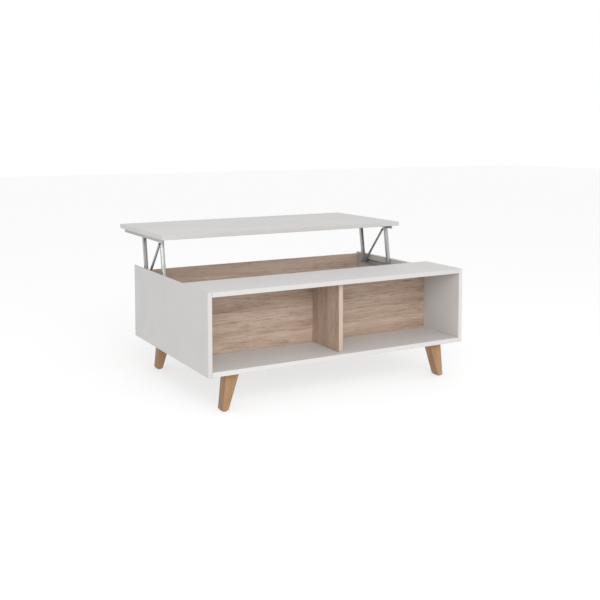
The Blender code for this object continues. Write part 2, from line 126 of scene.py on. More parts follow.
def makeStudio():
    world = bpy.data.worlds.new("studioWorld")
    bpy.context.scene.world = world
    world.use_nodes = True
    tree = world.node_tree
    tree.nodes.clear()
    output = tree.nodes.new("ShaderNodeOutputWorld")
    seen = tree.nodes.new("ShaderNodeBackground")
    lighting = tree.nodes.new("ShaderNodeBackground")
    lighting.inputs["Strength"].default_value = studioLook["worldLight"]
    for background in (seen, lighting):
        background.inputs["Color"].default_value = (1, 1, 1, 1)
    path = tree.nodes.new("ShaderNodeLightPath")
    mix = tree.nodes.new("ShaderNodeMixShader")
    tree.links.new(path.outputs["Is Camera Ray"], mix.inputs[0])
    tree.links.new(lighting.outputs[0], mix.inputs[1])
    tree.links.new(seen.outputs[0], mix.inputs[2])
    tree.links.new(mix.outputs[0], output.inputs[0])

    for name, light in softLights.items():
        lamp = bpy.data.lights.new(name, "AREA")
        lamp.shape = "RECTANGLE"
        lamp.size, lamp.size_y = light["size"]
        lamp.energy = light["power"]
        holder = bpy.data.objects.new(name, lamp)
        bpy.context.scene.collection.objects.link(holder)
        holder.location = light["place"]
        aim = Vector(light["aim"]) - Vector(light["place"])
        holder.rotation_euler = aim.to_track_quat("-Z", "Y").to_euler()
        holder.visible_camera = False

    shape = bmesh.new()
    bmesh.ops.create_grid(shape, x_segments=1, y_segments=1, size=studioLook["floorSize"] / 2)
    bmesh.ops.translate(shape, vec=(0, 0, cadLow.z), verts=shape.verts)
    floor = linkMesh("studioFloor", shape)
    paper = bpy.data.materials.new("floorPaper")
    paper.use_nodes = True
    shader = paper.node_tree.nodes["Principled BSDF"]
    shader.inputs["Base Color"].default_value = (*studioLook["floorColour"], 1)
    shader.inputs["Roughness"].default_value = studioLook["floorRoughness"]
    shader.inputs["Specular IOR Level"].default_value = studioLook["floorSpecular"]
    shader.inputs["Emission Color"].default_value = (1, 1, 1, 1)
    shader.inputs["Emission Strength"].default_value = studioLook["floorGlow"]
    floor.data.materials.append(paper)


def linkMesh(name, shape):
    data = bpy.data.meshes.new(name)
    shape.to_mesh(data)
    shape.free()
    piece = bpy.data.objects.new(name, data)
    bpy.context.scene.collection.objects.link(piece)
    return piece


def addNode(tree, kind, settings=None, values=None):
    node = tree.nodes.new("ShaderNode" + kind)
    for key, value in (settings or {}).items():
        setattr(node, key, value)
    for key, value in (values or {}).items():
        node.inputs[key].default_value = value
    return node


def maths(tree, operation, first, second=None, clamp=False):
    node = addNode(tree, "Math", {"operation": operation, "use_clamp": clamp})
    for socket, value in zip(node.inputs, (first, second)):
        if value is None:
            continue
        if isinstance(value, (int, float)):
            socket.default_value = value
        else:
            tree.links.new(value, socket)
    return node.outputs[0]


def newGroup(name, inputs, outputs):
    tree = bpy.data.node_groups.new(name, "ShaderNodeTree")
    for label, kind, value in inputs:
        socket = tree.interface.new_socket(label, in_out="INPUT", socket_type="NodeSocket" + kind)
        if value is not None:
            socket.default_value = value
    for label, kind in outputs:
        tree.interface.new_socket(label, in_out="OUTPUT", socket_type="NodeSocket" + kind)
    return tree, tree.nodes.new("NodeGroupInput"), tree.nodes.new("NodeGroupOutput")


def placeGroup(tree, group, vector, values=None):
    node = addNode(tree, "Group", {"node_tree": group}, values)
    tree.links.new(vector, node.inputs["Vector"])
    return node


def ramp(tree, factor, stops):
    node = addNode(tree, "ValToRGB")
    elements = node.color_ramp.elements
    while len(elements) < len(stops):
        elements.new(0.5)
    for element, (position, colour) in zip(elements, stops):
        element.position = position
        element.color = (*colour, 1)
    tree.links.new(factor, node.inputs[0])
    return node.outputs[0]


def rescale(tree, value, fromRange, toRange):
    node = addNode(tree, "MapRange", {"interpolation_type": "SMOOTHSTEP"})
    for label, number in zip(("From Min", "From Max", "To Min", "To Max"), (*fromRange, *toRange)):
        node.inputs[label].default_value = number
    tree.links.new(value, node.inputs["Value"])
    return node.outputs[0]


def facing(tree):
    # The three parts of the direction that a point of the piece faces.
    parts = addNode(tree, "SeparateXYZ")
    tree.links.new(addNode(tree, "TexCoord").outputs["Normal"], parts.inputs[0])
    return parts.outputs


def stretched(tree, vector, scale, shift=(0, 0, 0), turn=(0, 0, 0)):
    node = addNode(tree, "Mapping", None, {"Scale": scale, "Location": shift, "Rotation": turn})
    tree.links.new(vector, node.inputs["Vector"])
    return node.outputs[0]


def noise(tree, vector, scale, detail=2.0, roughness=0.5, distortion=0.0):
    values = {"Scale": scale, "Detail": detail, "Roughness": roughness, "Distortion": distortion}
    node = addNode(tree, "TexNoise", None, values)
    tree.links.new(vector, node.inputs["Vector"])
    return node.outputs[0]


def mixColour(tree, factor, first, second, blend="MIX"):
    node = addNode(tree, "Mix", {"data_type": "RGBA", "blend_type": blend})
    sockets = (node.inputs[0], node.inputs[6], node.inputs[7])
    for socket, value in zip(sockets, (factor, first, second)):
        if isinstance(value, (int, float)):
            socket.default_value = value
        elif isinstance(value, tuple):
            socket.default_value = (*value, 1)
        else:
            tree.links.new(value, socket)
    return node.outputs[2]


surfaceLook = {
    "peel": {"Detail": 2.0, "Roughness": 0.6},
    "smudge": {"Detail": 5.0, "Roughness": 0.62, "Distortion": 0.6},
    "smudgeRange": (0.35, 0.68),
    "dustFacing": (0.6, 1.0),
    "dustSpecks": (160, 3, 0.7),
    "dustRange": (0.46, 0.7),
}


def makeHandledSurface():
    # Fine orange peel, broad smudges and a little dust that settles on what faces up.
    look = surfaceLook
    inputs = [("Vector", "Vector", None), ("Peel scale", "Float", 900.0),
              ("Smudge scale", "Float", 7.0), ("Dust", "Float", 0.3)]
    outputs = [("Peel", "Float"), ("Smudge", "Float"), ("Dust mask", "Float")]
    tree, given, out = newGroup("handledSurface", inputs, outputs)
    peel = addNode(tree, "TexNoise", None, look["peel"])
    smudge = addNode(tree, "TexNoise", None, look["smudge"])
    for node, label in ((peel, "Peel scale"), (smudge, "Smudge scale")):
        tree.links.new(given.outputs["Vector"], node.inputs["Vector"])
        tree.links.new(given.outputs[label], node.inputs["Scale"])
    tree.links.new(peel.outputs[0], out.inputs["Peel"])
    smudges = rescale(tree, smudge.outputs[0], look["smudgeRange"], (0, 1))
    tree.links.new(smudges, out.inputs["Smudge"])
    upward = rescale(tree, facing(tree)[2], look["dustFacing"], (0, 1))
    grains = noise(tree, given.outputs["Vector"], *look["dustSpecks"])
    settled = maths(tree, "MULTIPLY", upward, rescale(tree, grains, look["dustRange"], (0, 1)))
    tree.links.new(maths(tree, "MULTIPLY", settled, given.outputs["Dust"]), out.inputs["Dust mask"])
    return tree


edgeLook = {
    "seamRange": (0.00012, 0.0004),
    "raggedNoise": (55, 4, 0.7),
    "raggedness": 1.6,
}


def makeBoardEdges():
    # How near a point of a box-shaped board is to its nearest edge, from its two corners.
    inputs = [("Vector", "Vector", None), ("Low", "Vector", (0, 0, 0)),
              ("High", "Vector", (1, 1, 1)), ("Band", "Float", 0.0009), ("Rub", "Float", 0.004)]
    outputs = [("Seam", "Float"), ("Rubbed", "Float")]
    tree, given, out = newGroup("boardEdges", inputs, outputs)
    gaps = []
    for first, second in (("Vector", "Low"), ("High", "Vector")):
        difference = addNode(tree, "VectorMath", {"operation": "SUBTRACT"})
        tree.links.new(given.outputs[first], difference.inputs[0])
        tree.links.new(given.outputs[second], difference.inputs[1])
        gaps.append(difference.outputs[0])
    nearest = addNode(tree, "VectorMath", {"operation": "MINIMUM"})
    tree.links.new(gaps[0], nearest.inputs[0])
    tree.links.new(gaps[1], nearest.inputs[1])
    parts = addNode(tree, "SeparateXYZ")
    tree.links.new(nearest.outputs[0], parts.inputs[0])
    x, y, z = parts.outputs
    smallest = maths(tree, "MINIMUM", maths(tree, "MINIMUM", x, y), z)
    largest = maths(tree, "MAXIMUM", maths(tree, "MAXIMUM", x, y), z)
    total = maths(tree, "ADD", maths(tree, "ADD", x, y), z)
    edge = maths(tree, "SUBTRACT", maths(tree, "SUBTRACT", total, smallest), largest)
    offset = maths(tree, "ABSOLUTE", maths(tree, "SUBTRACT", edge, given.outputs["Band"]))
    seam = rescale(tree, offset, edgeLook["seamRange"], (1, 0))
    tree.links.new(seam, out.inputs["Seam"])
    ragged = noise(tree, given.outputs["Vector"], *edgeLook["raggedNoise"])
    ragged = maths(tree, "MULTIPLY", ragged, edgeLook["raggedness"])
    reach = maths(tree, "MULTIPLY", given.outputs["Rub"], ragged)
    rubbed = maths(tree, "SUBTRACT", 1.0, maths(tree, "DIVIDE", edge, reach), clamp=True)
    tree.links.new(rubbed, out.inputs["Rubbed"])
    return tree


# Each pattern is stretched along the grain; a noise is scale, detail, roughness, distortion.
oakLook = {
    "knotStretch": (0.62, 1.0, 1.7),
    "knotCells": {"Scale": 3.6, "Randomness": 0.9},
    "knotWander": {"Scale": 34.0, "Detail": 3.0},
    "knotAstray": (0.06, 0.06, 0.06),
    "knotReach": (0.03, 0.14),
    "knotDarkness": 0.26,
    "swirlReach": (0.0, 0.30),
    "swirl": 0.022,
    "broadStretch": (0.8, 8.0, 8.0),
    "broadNoise": (2.6, 4, 0.55, 0.3),
    "broadPart": 0.45,
    "ringStretch": (0.12, 1.0, 1.0),
    "rings": {"Distortion": 5.0, "Detail": 3.0, "Detail Scale": 1.4, "Detail Roughness": 0.6},
    "ringPart": 0.07,
    "streakStretch": (1.3, 30.0, 30.0),
    "streakNoise": (11.0, 8, 0.80),
    "poreStretch": (1.0, 16.0, 16.0),
    "poreNoise": (26.0, 4, 0.7),
    "clusterStretch": (1.0, 5.0, 5.0),
    "clusterNoise": (5.0, 2, 0.5),
    "clusterPart": 0.35,
    "poreRange": (0.72, 0.86),
}


def makeOakFigure():
    # Oak with its grain along X: broad bands, growth rings that part round knots, and pores.
    look = oakLook
    inputs = [("Vector", "Vector", None), ("Ring scale", "Float", 8.0),
              ("Knots", "Float", 1.0), ("Streak", "Float", 0.5)]
    outputs = [("Tone", "Float"), ("Pores", "Float")]
    tree, given, out = newGroup("oakFigure", inputs, outputs)
    vector = given.outputs["Vector"]
    cells = addNode(tree, "TexVoronoi", {"feature": "F1"}, look["knotCells"])
    wander = addNode(tree, "TexNoise", None, look["knotWander"])
    tree.links.new(vector, wander.inputs["Vector"])
    astray = addNode(tree, "VectorMath", {"operation": "MULTIPLY_ADD"})
    astray.inputs[1].default_value = look["knotAstray"]
    tree.links.new(wander.outputs["Color"], astray.inputs[0])
    tree.links.new(stretched(tree, vector, look["knotStretch"]), astray.inputs[2])
    tree.links.new(astray.outputs[0], cells.inputs["Vector"])
    distance = cells.outputs["Distance"]
    knots = given.outputs["Knots"]
    knot = maths(tree, "MULTIPLY", rescale(tree, distance, look["knotReach"], (1, 0)), knots)
    swirl = rescale(tree, distance, look["swirlReach"], (look["swirl"], 0))
    swirl = maths(tree, "MULTIPLY", swirl, knots)
    bend = addNode(tree, "CombineXYZ")
    tree.links.new(swirl, bend.inputs[1])
    tree.links.new(swirl, bend.inputs[2])
    bent = addNode(tree, "VectorMath", {"operation": "ADD"})
    tree.links.new(vector, bent.inputs[0])
    tree.links.new(bend.outputs[0], bent.inputs[1])
    bent = bent.outputs[0]
    bands = {"wave_type": "BANDS", "bands_direction": "Z", "wave_profile": "SAW"}
    rings = addNode(tree, "TexWave", bands, look["rings"])
    tree.links.new(stretched(tree, bent, look["ringStretch"]), rings.inputs["Vector"])
    tree.links.new(given.outputs["Ring scale"], rings.inputs["Scale"])
    broad = noise(tree, stretched(tree, bent, look["broadStretch"]), *look["broadNoise"])
    streak = noise(tree, stretched(tree, bent, look["streakStretch"]), *look["streakNoise"])
    streaks = maths(tree, "MULTIPLY", streak, given.outputs["Streak"])
    tone = maths(tree, "ADD", maths(tree, "MULTIPLY", broad, look["broadPart"]), streaks)
    ringTone = maths(tree, "MULTIPLY", rings.outputs["Fac"], look["ringPart"])
    knotTone = maths(tree, "MULTIPLY", knot, look["knotDarkness"])
    tone = maths(tree, "SUBTRACT", maths(tree, "ADD", tone, ringTone), knotTone)
    tree.links.new(tone, out.inputs["Tone"])
    pores = noise(tree, stretched(tree, bent, look["poreStretch"]), *look["poreNoise"])
    clusters = noise(tree, stretched(tree, bent, look["clusterStretch"]), *look["clusterNoise"])
    pores = maths(tree, "ADD", pores, maths(tree, "MULTIPLY", clusters, look["clusterPart"]))
    tree.links.new(rescale(tree, pores, look["poreRange"], (0, 1)), out.inputs["Pores"])
    return tree


wearLook = {
    "lineStretch": (1.0, 1.0, 0.03),
    "lines": {"Detail": 3.0, "Roughness": 0.6},
    "clouds": {"Scale": 240.0},
    "scratchStretch": (1.0, 0.06, 1.0),
    "scratchTurn": (0.5, 0.2, 0.3),
    "scratchNoise": (700, 2, 0.5),
    "scratchRange": (0.66, 0.74),
}


def makeMetalWear():
    # Drawing lines along Z, cloudy zinc spangle and fine handling scratches.
    inputs = [("Vector", "Vector", None), ("Line scale", "Float", 400.0)]
    outputs = [("Lines", "Float"), ("Clouds", "Float"), ("Scratches", "Float")]
    tree, given, out = newGroup("metalWear", inputs, outputs)
    look = wearLook
    vector = given.outputs["Vector"]
    lines = addNode(tree, "TexNoise", None, look["lines"])
    tree.links.new(stretched(tree, vector, look["lineStretch"]), lines.inputs["Vector"])
    tree.links.new(given.outputs["Line scale"], lines.inputs["Scale"])
    tree.links.new(lines.outputs[0], out.inputs["Lines"])
    clouds = addNode(tree, "TexVoronoi", {"feature": "F1"}, look["clouds"])
    tree.links.new(vector, clouds.inputs["Vector"])
    tree.links.new(clouds.outputs["Distance"], out.inputs["Clouds"])
    slanted = stretched(tree, vector, look["scratchStretch"], turn=look["scratchTurn"])
    scratches = noise(tree, slanted, *look["scratchNoise"])
    tree.links.new(rescale(tree, scratches, look["scratchRange"], (0, 1)), out.inputs["Scratches"])
    return tree


handledSurface = makeHandledSurface()
boardEdges = makeBoardEdges()
oakFigure = makeOakFigure()
metalWear = makeMetalWear()


def startMaterial(name, settings):
    material = bpy.data.materials.new(name)
    material.use_nodes = True
    tree = material.node_tree
    shader = tree.nodes["Principled BSDF"]
    for label, value in settings.items():
        shader.inputs[label].default_value = value
    coordinates = addNode(tree, "TexCoord")
    return material, tree, shader, coordinates.outputs["Object"]


def addBump(tree, shader, height, amount):
    bump = addNode(tree, "Bump", None, {"Strength": amount[0], "Distance": amount[1]})
    tree.links.new(height, bump.inputs["Height"])
    tree.links.new(bump.outputs[0], shader.inputs["Normal"])


laminateLook = {
    "colour": (0.560, 0.548, 0.536),
    "smudged": (0.550, 0.538, 0.526),
    "band": (0.565, 0.552, 0.540),
    "seam": (0.36, 0.35, 0.34),
    "seamStrength": 0.35,
    "dust": (0.62, 0.61, 0.59),
    "dustRoughness": 0.25,
    "roughness": (0.40, 0.47),
    "specular": 0.42,
    "peelScale": 900.0,
    "smudgeScale": 6.0,
    "seamDepth": 1.5,
    "bump": (0.12, 0.0002),
    # Painted light and shade: the boards inside the niches are painted lighter and the left side
    # panel darker, to even out the soft light, which falls off inside the niches.
    "paintedLight": {"bottom_panel": 1.09, "right_side_panel": 1.09, "left_side_panel": 0.97},
}


def whiteLaminate(node):
    look = laminateLook
    low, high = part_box(node)
    settings = {"Specular IOR Level": look["specular"]}
    material, tree, shader, vector = startMaterial(node + "Laminate", settings)
    scales = {"Peel scale": look["peelScale"], "Smudge scale": look["smudgeScale"]}
    surface = placeGroup(tree, handledSurface, vector, scales)
    edges = placeGroup(tree, boardEdges, vector, {"Low": low, "High": high})
    # Painted light: the board's colours are scaled by its entry above, lighter in the niches and
    # darker on the left side panel.
    paintedLight = look["paintedLight"].get(node, 1.0)
    plain, smudged, band = (tuple(value * paintedLight for value in look[key])
                            for key in ("colour", "smudged", "band"))
    colour = mixColour(tree, surface.outputs["Smudge"], plain, smudged)
    colour = mixColour(tree, edges.outputs["Rubbed"], colour, band)
    seam = maths(tree, "MULTIPLY", edges.outputs["Seam"], look["seamStrength"])
    colour = mixColour(tree, seam, colour, look["seam"])
    colour = mixColour(tree, surface.outputs["Dust mask"], colour, look["dust"])
    tree.links.new(colour, shader.inputs["Base Color"])
    rough = rescale(tree, surface.outputs["Smudge"], (0, 1), look["roughness"])
    dusty = maths(tree, "MULTIPLY", surface.outputs["Dust mask"], look["dustRoughness"])
    tree.links.new(maths(tree, "ADD", rough, dusty), shader.inputs["Roughness"])
    groove = maths(tree, "MULTIPLY", edges.outputs["Seam"], look["seamDepth"])
    addBump(tree, shader, maths(tree, "SUBTRACT", surface.outputs["Peel"], groove), look["bump"])
    return material


oakPrintLook = {
    "dark": (0.205, 0.120, 0.072),
    "brown": (0.365, 0.245, 0.176),
    "middle": (0.460, 0.338, 0.262),
    "light": (0.630, 0.500, 0.410),
    "tones": ((0.38, "dark"), (0.51, "brown"), (0.61, "middle"), (0.78, "light")),
    "figure": {"Ring scale": 7.0, "Knots": 1.0, "Streak": 0.75},
    "shiftParts": (1, 0.37, 0.61),
    "tapeAndPaintedLight": (0.520, 0.410, 0.335),
    "tapeAndPaintedLightStrength": 0.8,
    "tapeAndPaintedLightFacing": (-0.9, -0.6),
    "pore": (0.170, 0.098, 0.058),
    "poreStrength": 0.55,
    "poreRoughness": 0.1,
    "rubStrength": 0.5,
    "seamStrength": 0.5,
    "roughness": (0.46, 0.60),
    "specular": 0.35,
    "peelScale": 700.0,
    "dust": 0.2,
    "bump": (0.25, 0.0003),
}


def oakPrint(node, upright=False, shift=0.0, paintedLightLift=0.0):
    # The print runs along X on the back boards and up the divider.
    look = oakPrintLook
    low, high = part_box(node)
    settings = {"Specular IOR Level": look["specular"]}
    material, tree, shader, vector = startMaterial(node + "OakPrint", settings)
    turn = (0, math.pi / 2, 0) if upright else (0, 0, 0)
    places = tuple(shift * part for part in look["shiftParts"])
    along = stretched(tree, vector, (1, 1, 1), places, turn)
    figure = placeGroup(tree, oakFigure, along, look["figure"])
    surface = placeGroup(tree, handledSurface, vector,
                         {"Peel scale": look["peelScale"], "Dust": look["dust"]})
    edges = placeGroup(tree, boardEdges, vector, {"Low": low, "High": high})
    tones = [(place, look[key]) for place, key in look["tones"]]
    # Painted light: the tone is lifted by the given amount, which paints the board lighter.
    colour = ramp(tree, maths(tree, "ADD", figure.outputs["Tone"], paintedLightLift), tones)
    pores = maths(tree, "MULTIPLY", figure.outputs["Pores"], look["poreStrength"])
    colour = mixColour(tree, pores, colour, look["pore"])
    # The divider's front-facing edge is painted plainer and paler: edging tape, and a painted
    # highlight where the front light falls on that edge.
    strength = look["tapeAndPaintedLightStrength"] if upright else 0
    tapeAndPaintedLight = rescale(tree, facing(tree)[1], look["tapeAndPaintedLightFacing"], (strength, 0))
    colour = mixColour(tree, tapeAndPaintedLight, colour, look["tapeAndPaintedLight"])
    rubbed = maths(tree, "MULTIPLY", edges.outputs["Rubbed"], look["rubStrength"])
    colour = mixColour(tree, rubbed, colour, look["light"])
    seam = maths(tree, "MULTIPLY", edges.outputs["Seam"], look["seamStrength"])
    colour = mixColour(tree, seam, colour, look["dark"])
    tree.links.new(colour, shader.inputs["Base Color"])
    rough = rescale(tree, surface.outputs["Smudge"], (0, 1), look["roughness"])
    grainy = maths(tree, "MULTIPLY", figure.outputs["Pores"], look["poreRoughness"])
    tree.links.new(maths(tree, "ADD", rough, grainy), shader.inputs["Roughness"])
    height = maths(tree, "SUBTRACT", surface.outputs["Peel"], figure.outputs["Pores"])
    addBump(tree, shader, height, look["bump"])
    return material


solidOakLook = {
    "dark": (0.195, 0.095, 0.040),
    "middle": (0.335, 0.182, 0.084),
    "light": (0.470, 0.278, 0.138),
    "tones": ((0.36, "dark"), (0.55, "middle"), (0.76, "light")),
    "figure": {"Ring scale": 12.0, "Knots": 0.0, "Streak": 0.6},
    "grainScale": 1.6,
    "shiftParts": (1, 0.7, 0.3),
    "firstShift": 0.7,
    "shiftStep": 1.3,
    "paintedSideShade": (0.68, 0.62, 0.57),
    "paintedSideShadeStrength": 0.85,
    "paintedSideShadeFacing": (0.5, 0.85),
    "pore": (0.130, 0.066, 0.032),
    "poreStrength": 0.45,
    "roughness": (0.34, 0.50),
    "specular": 0.5,
    "lacquer": 0.15,
    "lacquerRoughness": 0.3,
    "peelScale": 600.0,
    "smudgeScale": 20.0,
    "bump": (0.3, 0.0003),
}


def legOak(name, shift):
    # Lacquered solid oak, its grain down the leg.
    look = solidOakLook
    settings = {"Specular IOR Level": look["specular"], "Coat Weight": look["lacquer"],
                "Coat Roughness": look["lacquerRoughness"]}
    material, tree, shader, vector = startMaterial(name, settings)
    places = tuple(shift * part for part in look["shiftParts"])
    along = stretched(tree, vector, (look["grainScale"],) * 3, places, (0, math.pi / 2, 0))
    figure = placeGroup(tree, oakFigure, along, look["figure"])
    surface = placeGroup(tree, handledSurface, vector,
                         {"Peel scale": look["peelScale"], "Smudge scale": look["smudgeScale"]})
    tones = [(place, look[key]) for place, key in look["tones"]]
    colour = ramp(tree, figure.outputs["Tone"], tones)
    # Painted shade: the faces turned towards X, left and right, are painted darker, standing in for
    # the shade on the legs' side faces.
    turned = maths(tree, "ABSOLUTE", facing(tree)[0])
    paintedSideShadeMask = rescale(tree, turned, look["paintedSideShadeFacing"], (0, look["paintedSideShadeStrength"]))
    colour = mixColour(tree, paintedSideShadeMask, colour, look["paintedSideShade"], "MULTIPLY")
    pores = maths(tree, "MULTIPLY", figure.outputs["Pores"], look["poreStrength"])
    colour = mixColour(tree, pores, colour, look["pore"])
    tree.links.new(colour, shader.inputs["Base Color"])
    rough = rescale(tree, surface.outputs["Smudge"], (0, 1), look["roughness"])
    tree.links.new(rough, shader.inputs["Roughness"])
    height = maths(tree, "SUBTRACT", figure.outputs["Tone"], figure.outputs["Pores"])
    addBump(tree, shader, height, look["bump"])
    return material


steelLook = {
    "bright": (0.57, 0.57, 0.565),
    "dull": (0.46, 0.46, 0.455),
    "scratch": (0.66, 0.66, 0.65),
    "smudgeStrength": 0.4,
    "cloudRange": (0.1, 0.7),
    "lineRange": (0.3, 0.7),
    "roughness": (0.34, 0.50),
    "dustRoughness": 0.3,
    "smudgeScale": 35.0,
    "dust": 0.4,
    "bump": (0.15, 0.0001),
}


def zincSteel(name, lineScale, shade=1.0):
    look = steelLook
    material, tree, shader, vector = startMaterial(name, {"Metallic": 1.0})
    wear = placeGroup(tree, metalWear, vector, {"Line scale": lineScale})
    surface = placeGroup(tree, handledSurface, vector,
                         {"Smudge scale": look["smudgeScale"], "Dust": look["dust"]})
    bright, dull = (tuple(value * shade for value in look[key]) for key in ("bright", "dull"))
    clouds = rescale(tree, wear.outputs["Clouds"], look["cloudRange"], (0, 1))
    colour = mixColour(tree, clouds, bright, dull)
    smudges = maths(tree, "MULTIPLY", surface.outputs["Smudge"], look["smudgeStrength"])
    colour = mixColour(tree, smudges, colour, dull)
    colour = mixColour(tree, wear.outputs["Scratches"], colour, look["scratch"])
    tree.links.new(colour, shader.inputs["Base Color"])
    rough = rescale(tree, wear.outputs["Lines"], look["lineRange"], look["roughness"])
    dusty = maths(tree, "MULTIPLY", surface.outputs["Dust mask"], look["dustRoughness"])
    tree.links.new(maths(tree, "ADD", rough, dusty), shader.inputs["Roughness"])
    height = maths(tree, "SUBTRACT", wear.outputs["Lines"], wear.outputs["Scratches"])
    addBump(tree, shader, height, look["bump"])
    return material


glandLook = {
    "colour": (0.030, 0.030, 0.031),
    "scuffed": (0.075, 0.074, 0.072),
    "roughness": (0.50, 0.68),
}
glideLook = {
    "colour": (0.260, 0.170, 0.105),
    "scuffed": (0.310, 0.225, 0.155),
    "roughness": (0.55, 0.70),
}
plasticLook = {"specular": 0.45, "peelScale": 1500.0, "smudgeScale": 60.0, "bump": (0.3, 0.0002)}


def mouldedPlastic(name, look):
    settings = {"Specular IOR Level": plasticLook["specular"]}
    material, tree, shader, vector = startMaterial(name, settings)
    scales = {"Peel scale": plasticLook["peelScale"], "Smudge scale": plasticLook["smudgeScale"]}
    surface = placeGroup(tree, handledSurface, vector, scales)
    colour = mixColour(tree, surface.outputs["Smudge"], look["colour"], look["scuffed"])
    tree.links.new(colour, shader.inputs["Base Color"])
    rough = rescale(tree, surface.outputs["Smudge"], (0, 1), look["roughness"])
    tree.links.new(rough, shader.inputs["Roughness"])
    addBump(tree, shader, surface.outputs["Peel"], plasticLook["bump"])
    return material


def paint(node, material):
    data = nodes[node].data
    data.materials.clear()
    data.materials.append(material)


def finishBoards():
    for node in ("left_side_panel", "right_side_panel", "bottom_panel", "fixed_top", "lift_lid"):
        paint(node, whiteLaminate(node))
    paint("niche_back_panel", oakPrint("niche_back_panel", shift=0.35))
    # Painted light: the rear panel is painted lighter, standing in for light that the lid keeps out
    # of the well.
    paint("rear_panel", oakPrint("rear_panel", shift=1.9, paintedLightLift=0.06))
    paint("centre_divider", oakPrint("centre_divider", upright=True, shift=3.1))


bpy.context.scene.view_settings.view_transform = "Standard"
makeCamera()
makeStudio()
print("camera, studio light and floor made")
finishBoards()
print("boards finished")


def surfacePiece(piece, material, sharpAngle=35):
    piece.data.materials.append(material)
    piece.data.shade_smooth()
    piece.data.set_sharp_from_angle(angle=math.radians(sharpAngle))


def finishPiece(piece, node, material):
    surfacePiece(piece, material)
    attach(piece, nodes[node]["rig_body"])
    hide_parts(node)


def roundOff(shape, edges, radius, segments):
    bmesh.ops.bevel(shape, geom=edges, offset=radius, offset_type="OFFSET", segments=segments,
                    profile=0.5, affect="EDGES", clamp_overlap=True, material=-1)


easedShape = {"merge": 0.00002, "flat": 3, "sharp": 40, "segments": 2,
              "arm": 0.00035, "rail": 0.0004, "strut": 0.00025}


def eased(node, name, radius):
    # A merged copy of a CAD node with every sharp edge eased, as pressing and tumbling leave it.
    shape = bmesh.new()
    shape.from_mesh(nodes[node].data)
    bmesh.ops.remove_doubles(shape, verts=shape.verts, dist=easedShape["merge"])
    bmesh.ops.dissolve_limit(shape, angle_limit=math.radians(easedShape["flat"]),
                             verts=shape.verts, edges=shape.edges)
    limit = math.radians(easedShape["sharp"])
    sharp = [edge for edge in shape.edges if edge.is_manifold and edge.calc_face_angle() > limit]
    roundOff(shape, sharp, radius, easedShape["segments"])
    return linkMesh(name, shape)


armSteel = zincSteel("armSteel", lineScale=420.0)
railSteel = zincSteel("railSteel", lineScale=300.0, shade=0.9)
pinSteel = zincSteel("pinSteel", lineScale=900.0, shade=1.1)
strutSteel = zincSteel("strutSteel", lineScale=600.0, shade=0.95)
glandPlastic = mouldedPlastic("glandPlastic", glandLook)
glidePlastic = mouldedPlastic("glidePlastic", glideLook)


spunShape = {"merge": 0.000002}


def spun(profile, steps):
    # Radii and heights from the crown down, turned about Z into a closed skin.
    shape = bmesh.new()
    points = [shape.verts.new((radius, 0, height)) for radius, height in profile]
    edges = [shape.edges.new(pair) for pair in zip(points, points[1:])]
    bmesh.ops.spin(shape, geom=points + edges, cent=(0, 0, 0), axis=(0, 0, 1),
                   angle=math.tau, steps=steps, use_merge=True)
    bmesh.ops.remove_doubles(shape, verts=shape.verts, dist=spunShape["merge"])
    bmesh.ops.recalc_face_normals(shape, faces=shape.faces)
    return shape


def scaled(outline, radius, height):
    return [(radius * across, height * up) for across, up in outline]


def stand(shape, place, direction):
    turn = Vector(direction).to_track_quat("Z", "Y").to_matrix().to_4x4()
    bmesh.ops.transform(shape, matrix=Matrix.Translation(place) @ turn, verts=shape.verts)


def middleOf(node):
    low, high = (Vector(corner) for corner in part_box(node))
    return (low + high) / 2, high - low


legShape = {"round": 0.0012, "segments": 4, "cornerReach": 0.0035}


def makeLeg(node, grain):
    # The four top corners and the four foot corners come from the CAD leg's own ends.
    points = [vertex.co for vertex in nodes[node].data.vertices]
    low, high = (Vector(corner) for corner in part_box(node))
    shape = bmesh.new()
    bmesh.ops.create_cube(shape, size=1.0)
    for vertex in shape.verts:
        level = high.z if vertex.co.z > 0 else low.z
        ring = [point.x for point in points if abs(point.z - level) < legShape["cornerReach"]]
        vertex.co.x = max(ring) if vertex.co.x > 0 else min(ring)
        vertex.co.y = high.y if vertex.co.y > 0 else low.y
        vertex.co.z = level
    roundOff(shape, shape.edges[:], legShape["round"], legShape["segments"])
    finishPiece(linkMesh(node + "Turned", shape), node, grain)


glideShape = {"corner": 0.2, "cornerSegments": 5, "round": 0.0011, "segments": 3, "rimAngle": 1.2}


def makeGlide(node):
    place, size = middleOf(node)
    shape = bmesh.new()
    stretch = Matrix.Translation(place) @ Matrix.Diagonal((*size, 1))
    bmesh.ops.create_cube(shape, size=1.0, matrix=stretch)
    upright = [edge for edge in shape.edges
               if abs(edge.verts[0].co.z - edge.verts[1].co.z) > size.z / 2]
    roundOff(shape, upright, size.x * glideShape["corner"], glideShape["cornerSegments"])
    rims = [edge for edge in shape.edges
            if edge.is_manifold and edge.calc_face_angle() > glideShape["rimAngle"]]
    roundOff(shape, rims, glideShape["round"], glideShape["segments"])
    finishPiece(linkMesh(node + "Pad", shape), node, glidePlastic)


# Outlines of heads, as parts of the head's radius and thickness.
pinShape = {
    "crown": ((0, 0.62), (0.20, 0.64), (0.30, 0.98), (0.46, 1), (0.70, 0.90), (0.88, 0.66),
              (0.97, 0.38), (1, 0.16), (0.99, 0)),
    "arm": {"shank": 0.0025, "head": 0.0015, "chamfer": 0.00033},
    "strut": {"shank": 0.0020, "head": 0.0007, "chamfer": 0.000314},
    "chamferRadius": 0.88,
    "steps": 36,
}


